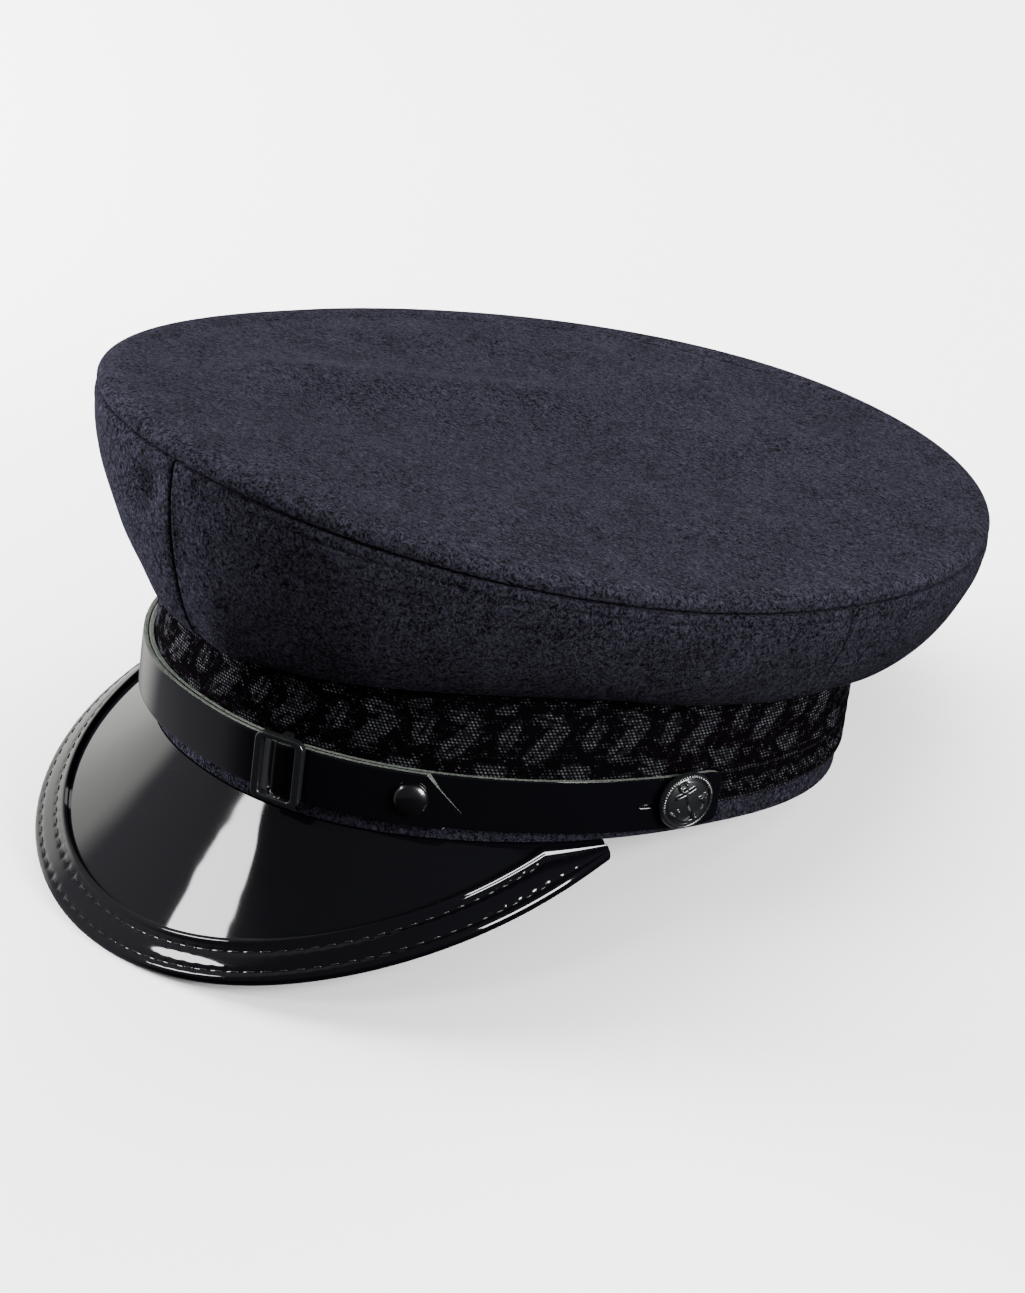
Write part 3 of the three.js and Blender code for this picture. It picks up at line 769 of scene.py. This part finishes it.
def applyTree(name, points, edges, vectors, tree, inputs):
    mesh = bpy.data.meshes.new(name + "_path")
    mesh.from_pydata(onTable(points).tolist(), edges, [])
    storeValues(mesh, vectors, "FLOAT_VECTOR", "vector")
    path = addObject(name + "_path", mesh)
    modifier = path.modifiers.new("tree", "NODES")
    modifier.node_group = tree
    for item in tree.interface.items_tree:
        if item.in_out == "INPUT" and item.name in inputs:
            modifier[item.identifier] = inputs[item.name]
    shown = path.evaluated_get(bpy.context.evaluated_depsgraph_get())
    piece = addObject(name, bpy.data.meshes.new_from_object(shown))
    piece.data.name = name
    bpy.data.objects.remove(path)
    return piece


pathPoints, pathEdges, pathOut = [], [], []
for i, row in enumerate(binding["rows"]):
    for side in (1, -1):
        count = int(edgeRun[-1] / binding["pitch"])
        runs = (np.arange(2, count - 2) + 0.5 - i / 2) * binding["pitch"]
        angle = np.interp(runs, edgeRun, bindingTurns)
        wide = peakLength(angle) > binding["width"] + 1
        angle, runs = angle[wide], runs[wide]
        above = bindingAbove(bindingLift(np.full_like(runs, row), runs), side)
        if side > 0:
            above = above + binding["stitchWidth"] * 0.15
        distance = peakLength(angle) - binding["width"] + row
        first = sum(len(points) for points in pathPoints)
        pathPoints.append(peakPoint(angle, distance, above))
        pathOut.append(normalOf(peakSurface, angle, distance))
        pathEdges += [(first + n, first + n + 1) for n in range(len(runs) - 1)]
stitches = applyTree("binding_stitches", np.concatenate(pathPoints), pathEdges,
                     {"out": asLaid(np.concatenate(pathOut))}, makeStitchTree(),
                     {"Length": binding["stitchLength"] * mm, "Width": binding["stitchWidth"] * mm,
                      "Thread": waxedThread})
settle(stitches, None)


# Chin strap and overlay: two layers of patent leather with raw cut edges.
slide = {
    "angles": {"left": 20.1, "right": -58.5}, "width": 14.4, "height": 19.4, "corner": 2.6,
    "frame": 2.3, "rail": 1.5, "thickness": 1.8, "rise": 0.7, "bar": 2.4, "barDepth": 1.3,
    "barRise": 0.9, "bevel": 0.35, "post": 1.0, "postInset": 0.9, "postTop": 0.8,
}
strap = {
    "width": 15.3, "thickness": 1.3, "sideLift": 2.4, "frontLift": 4.0, "endAngle": 90.5,
    "hump": 1.9, "humpReach": 6.5, "corner": 2.2, "round": 0.22, "crown": 0.12,
    "slitFrom": 79.3, "slitTo": 82.4, "slitHeight": 10.4, "slitDepth": 0.7, "slitWidth": 0.35,
}
overlay = {
    "bodyAngle": 40, "cutTop": 46, "tip": 52.5, "tipHeight": 0.33, "cutBottom": 49.3,
    "rightShift": 25, "skive": 0.45,
}
strapInside = 2 * clearance + braid["thickness"]


def strapHump(angle):
    here = bandPoint(angle, 0, 0)
    nearest = np.where(np.asarray(angle) > 0, slide["angles"]["left"], slide["angles"]["right"])
    there = bandPoint(nearest * degree, 0, 0)
    reach = np.linalg.norm(here - there, axis=-1) / strap["humpReach"]
    return np.where(reach < 1, strap["hump"] * np.cos(np.minimum(reach, 1) * math.pi / 2) ** 2, 0)


def strapBottom(angle):
    return strap["sideLift"] + strap["frontLift"] * np.cos(angle)


def strapProfile(stops):
    r = strap["round"] / strap["width"]
    face = sorted(set(np.round(np.concatenate([np.linspace(r, 1 - r, 25), stops]), 5)), reverse=True)
    points = [(share, 0) for share in face]
    points += [(r * 0.3, strap["round"] * 0.25), (0, strap["round"]), (0, strap["thickness"])]
    points += [(1, strap["thickness"]), (1, strap["round"]), (1 - r * 0.3, strap["round"] * 0.25)]
    return np.array(points), len(face) + 3


def makeStrap(name, node, angles, pasts, endOf, stops, offset, trimEnds, skive=0):
    profile, outerCount = strapProfile(stops)
    share, depth = profile.T
    side = np.sign(angles)[:, None]
    body = np.abs(angles)[:, None]
    turn = (body + pasts[:, None] * (endOf(share[None, :], side) + skive * depth - body)) * side * degree
    inset = 0
    if trimEnds:
        left = (strap["endAngle"] * degree - np.abs(turn)) * band["halfWidth"]
        inset = roundedOff(left, strap["corner"])
    height = strapBottom(turn) + inset + (strap["width"] - 2 * inset) * share[None, :]
    swell = strap["crown"] * (1 - (2 * share - 1) ** 2) * (depth == 0)
    depths = depth - swell + 0 * turn
    if trimEnds:
        middle = (strap["slitFrom"] + strap["slitTo"]) / 2
        reach = (strap["slitTo"] - strap["slitFrom"]) / 2
        along = np.clip(1 - ((np.abs(turn) / degree - middle) / reach) ** 2, 0, 1) ** 0.5
        gap = height - strap["slitHeight"]
        slit = strap["slitDepth"] * bump(gap, 0, strap["slitWidth"]) - 0.15 * bump(np.abs(gap), 0.7, 0.4)
        depths = depths + slit * along * (depth == 0)
    points = bandPoint(turn, offset + strapHump(turn) - depths, height)
    raw = (share == np.roll(share, -1)) & ((share == 0) | (share == 1))
    choose = np.append(np.tile(raw, len(points) - 1), np.ones(2 * (outerCount - 1)))
    piece = addPiece(name, points, [patentLeather, leatherEdge], outerCount, choose)
    settle(piece, node)


def sideAngles(slideAngle, end):
    near = slideAngle - 8, min(slideAngle + 8, end)
    start = np.linspace(0, near[0], int(near[0] * 3), endpoint=False)
    return np.concatenate([start, np.linspace(near[0], near[1], 110, endpoint=near[1] == end)])


def strapAngles(slideAngle):
    plain = np.linspace(slideAngle + 8, 76, int(76 - slideAngle) * 2, endpoint=False)
    slitted = np.linspace(76, 89, 60, endpoint=False)
    end = 89 + (strap["endAngle"] - 89) * np.sin(np.linspace(0, math.pi / 2, 14))
    return np.concatenate([sideAngles(slideAngle, 90), plain, slitted, end])


leftHalf, rightHalf = strapAngles(slide["angles"]["left"]), strapAngles(-slide["angles"]["right"])
angles = np.concatenate([-rightHalf[:0:-1], leftHalf])
slitShare = (strap["slitHeight"] - strapBottom(80.8 * degree)) / strap["width"]
makeStrap("chin_strap_patent", "chin_strap", angles, np.zeros_like(angles),
          lambda share, side: strap["endAngle"] + 0 * share,
          slitShare + np.linspace(-0.07, 0.07, 15), strapInside + strap["thickness"], True)


def overlayEnd(share, side):
    below = share < overlay["tipHeight"]
    away = np.where(below, 1 - share / overlay["tipHeight"],
                    (share - overlay["tipHeight"]) / (1 - overlay["tipHeight"]))
    corner = np.where(below, overlay["cutBottom"], overlay["cutTop"])
    return overlay["tip"] + (corner - overlay["tip"]) * away + overlay["rightShift"] * (side < 0)


def overlayAngles(slideAngle, bodyAngle):
    body = sideAngles(slideAngle, bodyAngle)
    if bodyAngle > body[-1]:
        body = np.append(body, np.linspace(body[-1], bodyAngle, 25)[1:])
    ends = np.full(19, bodyAngle, float)
    return np.append(body, ends), np.append(np.zeros(len(body)), np.linspace(0, 1, 20)[1:])


leftHalf = overlayAngles(slide["angles"]["left"], overlay["bodyAngle"])
rightHalf = overlayAngles(-slide["angles"]["right"], overlay["bodyAngle"] + overlay["rightShift"])
angles = np.concatenate([-rightHalf[0][:0:-1], leftHalf[0]])
pasts = np.concatenate([rightHalf[1][:0:-1], leftHalf[1]])
makeStrap("strap_overlay_patent", "strap_overlay", angles, pasts, overlayEnd, [overlay["tipHeight"]],
          strapInside + 2 * strap["thickness"] + clearance, False, overlay["skive"])


# Where hardware sits on the strap: a point, the way along it and the way out.
def seatPoints(local, angle, offset, rise):
    height = strapBottom(angle) + strap["width"] / 2 + rise
    origin = bandPoint(angle, offset, height)
    along = bandPoint(angle + 0.001, offset, height) - bandPoint(angle - 0.001, offset, height)
    along = along / np.linalg.norm(along)
    outward = np.cross(along, (0, 0, 1))
    return origin + local[..., :1] * along + local[..., 1:2] * (0, 0, 1) + local[..., 2:] * outward


# Slides: a bevelled frame in front of the strap, and a bar behind it that two posts hold.
def roundedRectangle(width, height, corner, arc=9, side=4):
    points = []
    for x, y, start in ((1, 1, 0), (-1, 1, 90), (-1, -1, 180), (1, -1, 270)):
        centre = (x * (width / 2 - corner), y * (height / 2 - corner))
        points += arcPoints(centre, corner, start, start + 90, arc)
    full = []
    for i, point in enumerate(points):
        following = points[(i + 1) % len(points)]
        full.append(point)
        if (i + 1) % arc == 0:
            for step in range(1, side):
                t = step / side
                full.append((point[0] * (1 - t) + following[0] * t, point[1] * (1 - t) + following[1] * t))
    return np.array(full)


strapStack = 2 * strap["thickness"] + clearance
slideDepth = strapStack + 2 * clearance + slide["thickness"] + slide["barRise"]


def makeSlide(label):
    bevel = slide["bevel"]
    outer = roundedRectangle(slide["width"], slide["height"], slide["corner"])
    inner = roundedRectangle(slide["width"] - 2 * slide["frame"], slide["height"] - 2 * slide["rail"],
                             slide["corner"] - slide["rail"])
    back = np.full(len(outer), slideDepth - slide["thickness"])
    across = (inner - outer) / np.linalg.norm(inner - outer, axis=1)[:, None]
    layers = [np.column_stack([outer, back])]
    for line, inwards, arc in ((outer, across, (0, 90)), (inner, -across, (90, 0))):
        for turn in np.linspace(*arc, 5) * degree:
            away = bevel * (1 - math.cos(turn))
            rise = slideDepth - bevel * (1 - math.sin(turn))
            layers.append(np.column_stack([line + inwards * away, np.full(len(line), rise)]))
    layers.append(np.column_stack([inner, back]))
    local = np.stack(layers, axis=1)
    seat = (slide["angles"][label] * degree, strapInside, slide["rise"])
    frameOf = addPiece(f"slide_{label}_lacquer", seatPoints(local, *seat), [stovedLacquer], sharp=50)
    reach = slide["height"] / 2 - slide["postInset"]
    inside, top = reach - slide["post"], slideDepth - slide["postTop"]
    path = [(reach, top), (reach, 0), (-reach, 0), (-reach, top), (-inside, top),
            (-inside, slide["barDepth"]), (inside, slide["barDepth"]), (inside, top)]
    local = np.array([[(x, y, z) for y, z in path] for x in (-slide["bar"] / 2, slide["bar"] / 2)])
    bar = addPiece("bar", seatPoints(local, *seat), [stovedLacquer], 4)
    union = frameOf.modifiers.new("bar", "BOOLEAN")
    union.operation = "UNION"
    union.object = bar
    shown = frameOf.evaluated_get(bpy.context.evaluated_depsgraph_get())
    whole = bpy.data.meshes.new_from_object(shown)
    frameOf.modifiers.clear()
    frameOf.data = whole
    bpy.data.objects.remove(bar)
    settle(frameOf, f"slide_{label}")


# Studs: low domes in a darker copy of the lacquer, painted shade that keeps them dark under the lamps.
stud = {"angles": {"left": 44, "right": -69}, "radius": 4.7, "height": 2.6, "rise": 0.5, "lip": 0.45}


def lathe(profile, steps):
    radius, height = np.asarray(profile, float).T
    turn = fullTurn(steps)[:, None]
    return np.stack([radius * np.cos(turn), radius * np.sin(turn), height + 0 * turn], axis=-1)


def makeStud(label):
    profile = [(0, 0), (stud["radius"] * 0.92, 0), (stud["radius"], stud["lip"])]
    for turn in np.linspace(0, 90, 20)[1:] * degree:
        profile.append((stud["radius"] * math.cos(turn) ** 0.8,
                        stud["lip"] + (stud["height"] - stud["lip"]) * math.sin(turn) ** 0.9))
    local = lathe(profile, 64)
    seat = (stud["angles"][label] * degree, strapInside + strapStack + clearance, stud["rise"])
    piece = addPiece(f"stud_{label}_lacquer", seatPoints(local, *seat), [shadedLacquer], sharp=60)
    settle(piece, f"stud_{label}")


# Buttons: a knurled rim round a domed field with a plain anchor.
button = {
    "angles": {"left": 85.5, "right": -85.5}, "radius": 8.3, "height": 4.2, "rise": 1.4,
    "rim": 1.5, "knurls": 64, "knurl": 0.35, "relief": 0.75, "lean": -24, "soft": 0.16, "anchor": 1.35,
    "bars": (  # from, to, half width
        ((0, -3.9), (0, 3.0), 0.42), ((-2.1, 2.35), (2.1, 2.35), 0.34),
        ((-3.7, -1.3), (-2.9, -0.6), 0.5), ((-3.7, -1.3), (-4.3, -0.5), 0.3),
        ((3.7, -1.3), (2.9, -0.6), 0.5), ((3.7, -1.3), (4.3, -0.5), 0.3),
    ),
    "ring": ((0, 3.9), 0.85, 0.26), "arms": ((0, -0.4), 3.75, 0.45),
    "back": ((1.0, 0.42), (0.97, 0.25), (0.86, 0.04), (0.8, 0), (0, 0)),  # shares of radius and height
}


def stroke(gap, width):
    return 1 - smoothStep(gap, width - button["soft"], width + button["soft"])


def anchorRelief(x, y):
    lean = button["lean"] * degree
    u, v = x * math.cos(lean) - y * math.sin(lean), x * math.sin(lean) + y * math.cos(lean)
    u, v = u / button["anchor"], v / button["anchor"]
    total = np.zeros_like(u)
    for (ax, ay), (bx, by), width in button["bars"]:
        t = np.clip(((u - ax) * (bx - ax) + (v - ay) * (by - ay)) / ((bx - ax) ** 2 + (by - ay) ** 2), 0, 1)
        total = np.maximum(total, stroke(np.hypot(u - ax - t * (bx - ax), v - ay - t * (by - ay)), width))
    (cx, cy), radius, width = button["ring"]
    total = np.maximum(total, stroke(np.abs(np.hypot(u - cx, v - cy) - radius), width))
    (cx, cy), radius, width = button["arms"]
    arms = stroke(np.abs(np.hypot(u - cx, v - cy) - radius), width)
    return np.maximum(total, arms * smoothStep(cy - v, 0.3, 0.9))


def makeButton(label):
    field = button["radius"] - button["rim"]
    radius = np.concatenate([np.linspace(0, field, 62), np.linspace(field, button["radius"], 15)[1:]])
    turn = fullTurn(336)[:, None]
    x, y = radius * np.cos(turn), radius * np.sin(turn)
    dome = 0.62 + 0.3 * (1 - (radius / field) ** 2)
    out = (radius - field) / button["rim"]
    lip = 0.62 + 0.16 * np.sin(np.clip(out, 0, 1) * math.pi) ** 0.7 - 0.2 * np.clip(out, 0, 1) ** 4
    height = button["height"] * np.where(radius < field, dome, lip) + 0 * turn
    height = height - 0.3 * bump(radius, field - 0.2, 0.35)
    wave = 0.5 - 0.5 * np.cos(turn * button["knurls"])
    height = height - button["knurl"] * wave * smoothStep(out, 0.25, 0.5)
    inField = 1 - smoothStep(radius, field - 0.9, field - 0.4)
    height = height + button["relief"] * anchorRelief(x, y) * inField
    face = np.stack([x, y, height], axis=-1)
    edge = button["radius"] - button["knurl"] * 0.6 * wave
    sides = [np.stack([edge * np.cos(turn) * out, edge * np.sin(turn) * out,
                       button["height"] * up + 0 * turn], axis=-1) for out, up in button["back"]]
    local = np.concatenate([face] + sides, axis=1)
    seat = (button["angles"][label] * degree, strapInside + strap["thickness"] + clearance, button["rise"])
    piece = addPiece(f"button_{label}_lacquer", seatPoints(local, *seat), [stovedLacquer], sharp=60)
    settle(piece, f"button_{label}")


for label in ("left", "right"):
    makeSlide(label)
    makeStud(label)
    makeButton(label)


# Camera, as the cap is seen from its front left and above.
view = {
    "azimuth": 52.10, "elevation": 31.47, "roll": -2.54, "distance": 1202.0,
    "aim": (13.05, -4.46, 41.81), "lens": 152.26, "sensor": 36.0,
}


def addCamera():
    azimuth, elevation, roll = (view[key] * degree for key in ("azimuth", "elevation", "roll"))
    level = np.array([math.cos(azimuth), math.sin(azimuth), 0])
    away = np.array([math.sin(azimuth) * math.cos(elevation), -math.cos(azimuth) * math.cos(elevation),
                     math.sin(elevation)])
    raised = np.cross(away, level)
    right = level * math.cos(roll) + raised * math.sin(roll)
    up = np.cross(away, right)
    place = np.array(view["aim"]) + (0, setForward, 0) + away * view["distance"]
    data = bpy.data.cameras.new("camera")
    data.lens, data.sensor_width, data.sensor_fit = view["lens"], view["sensor"], "HORIZONTAL"
    data.clip_end = 20
    camera = addObject("camera", data)
    matrix = np.eye(4)
    matrix[:3, 0], matrix[:3, 1], matrix[:3, 2], matrix[:3, 3] = right, up, away, place * mm
    camera.matrix_world = Matrix(matrix.tolist())
    bpy.context.scene.camera = camera


addCamera()


# Studio: a white floor, soft lamps above, behind and at both sides, and an oval one that shines in
# the peak. The gloss doesn't mirror the floor or the lamp on the wearer's right. It sees a grey room
# with a soft glow on that side, fainter below. The camera sees a pale backdrop.
studio = {
    "floor": "#f4f4f4", "floorSize": 9.0, "backdrop": "#f0f0f0",
    "glowFrom": (-0.97, 0.17, 0.09), "glowStrength": 2.2, "backdropStrength": 4.0,
    "glowRamp": ((0.1, "#404045"), (0.4, "#76757a"), (0.775, "#7d7c80"), (0.885, "#fbfbf6")),
    "horizon": (-0.03, -0.22), "lowGlow": (0.15, 0.75), "lowGlowReach": 0.4, "ambient": 0.35,
    "lamps": (  # name, shape, place, aim, turn, width, height, watts, seen in the gloss
        ("overhead", "RECTANGLE", (-0.25, 0.55, 1.1), (0, 0, 0.05), 0, 0.9, 0.9, 34, True),
        ("low back", "RECTANGLE", (0.3, 1.7, 0.9), (0, 0, 0.08), 0, 1.2, 0.6, 25, True),
        ("left side", "RECTANGLE", (1.5, 0.3, 0.7), (0, 0, 0.08), 0, 0.8, 0.8, 90, True),
        ("right side", "RECTANGLE", (-1.0, -0.42, 0.25), (0, 0, 0.08), 0, 0.4, 0.4, 110, False),
        ("oval", "ELLIPSE", (-0.587, -1.044, 1.046), (0.073, -0.194, 0.016), 28, 0.524, 0.206, 10, True),
    ),
}


def addLamp(name, shape, place, aim, turn, width, height, watts, mirrored):
    data = bpy.data.lights.new(name, "AREA")
    data.shape, data.size, data.size_y, data.energy = shape, width, height, watts
    lamp = addObject(name, data)
    heading = (Vector(aim) - Vector(place)).to_track_quat("-Z", "Y").to_matrix().to_4x4()
    lamp.matrix_world = Matrix.Translation(place) @ heading @ Matrix.Rotation(turn * degree, 4, "Z")
    lamp.visible_glossy = mirrored


def addFloor():
    half = studio["floorSize"] / 2
    mesh = bpy.data.meshes.new("floor")
    mesh.from_pydata([(-half, -half, 0), (half, -half, 0), (half, half, 0), (-half, half, 0)], [],
                     [(0, 1, 2, 3)])
    floor = addObject("floor", mesh)
    paper = newMaterial("studioPaper", {"Base Color": toLinear(studio["floor"]), "Roughness": 0.9})[0]
    mesh.materials.append(paper)
    floor.visible_glossy = False
    floor.visible_diffuse = False


# What the gloss mirrors: brighter towards the glow, and dimmed below the horizon away from it.
def glowLight(tree):
    heading = addNode(tree, "ShaderNodeTexCoord").outputs["Generated"]
    toGlow = addNode(tree, "ShaderNodeVectorMath", {"operation": "DOT_PRODUCT"}, {
        0: heading, 1: studio["glowFrom"]}).outputs["Value"]
    glow = addNode(tree, "ShaderNodeValToRGB", None, {0: toGlow})
    ramp = glow.color_ramp
    ramp.interpolation = "EASE"
    while len(ramp.elements) < len(studio["glowRamp"]):
        ramp.elements.new(0.5)
    for element, (place, color) in zip(ramp.elements, studio["glowRamp"]):
        element.position, element.color = place, toLinear(color)
    up = addNode(tree, "ShaderNodeSeparateXYZ", None, {0: heading}).outputs["Z"]
    low = between(tree, up, studio["horizon"])
    kept = addNode(tree, "ShaderNodeMapRange", None, {
        "Value": toGlow, "From Max": studio["lowGlowReach"], "To Min": studio["lowGlow"][0],
        "To Max": studio["lowGlow"][1]})
    factor = addNode(tree, "ShaderNodeMix", None, {0: low, 2: 1.0, 3: kept.outputs[0]})
    strength = combine(tree, "MULTIPLY", factor.outputs[0], studio["glowStrength"])
    return addNode(tree, "ShaderNodeBackground", None, {0: glow.outputs[0], 1: strength}).outputs[0]


def addRoom():
    world = bpy.data.worlds.new("room")
    world.use_nodes = True
    tree = world.node_tree
    pale, soft = (addNode(tree, "ShaderNodeBackground", None, {
        0: toLinear(studio["backdrop"]), 1: studio[key]}).outputs[0]
        for key in ("backdropStrength", "ambient"))
    ray = addNode(tree, "ShaderNodeLightPath").outputs
    unseen = addNode(tree, "ShaderNodeMixShader", None, {
        0: ray["Is Glossy Ray"], 1: soft, 2: glowLight(tree)})
    around = addNode(tree, "ShaderNodeMixShader", None, {
        0: ray["Is Camera Ray"], 1: unseen.outputs[0], 2: pale})
    tree.links.new(around.outputs[0], tree.nodes["World Output"].inputs["Surface"])
    bpy.context.scene.world = world


addFloor()
for lamp in studio["lamps"]:
    addLamp(*lamp)
addRoom()
print("studio lit")
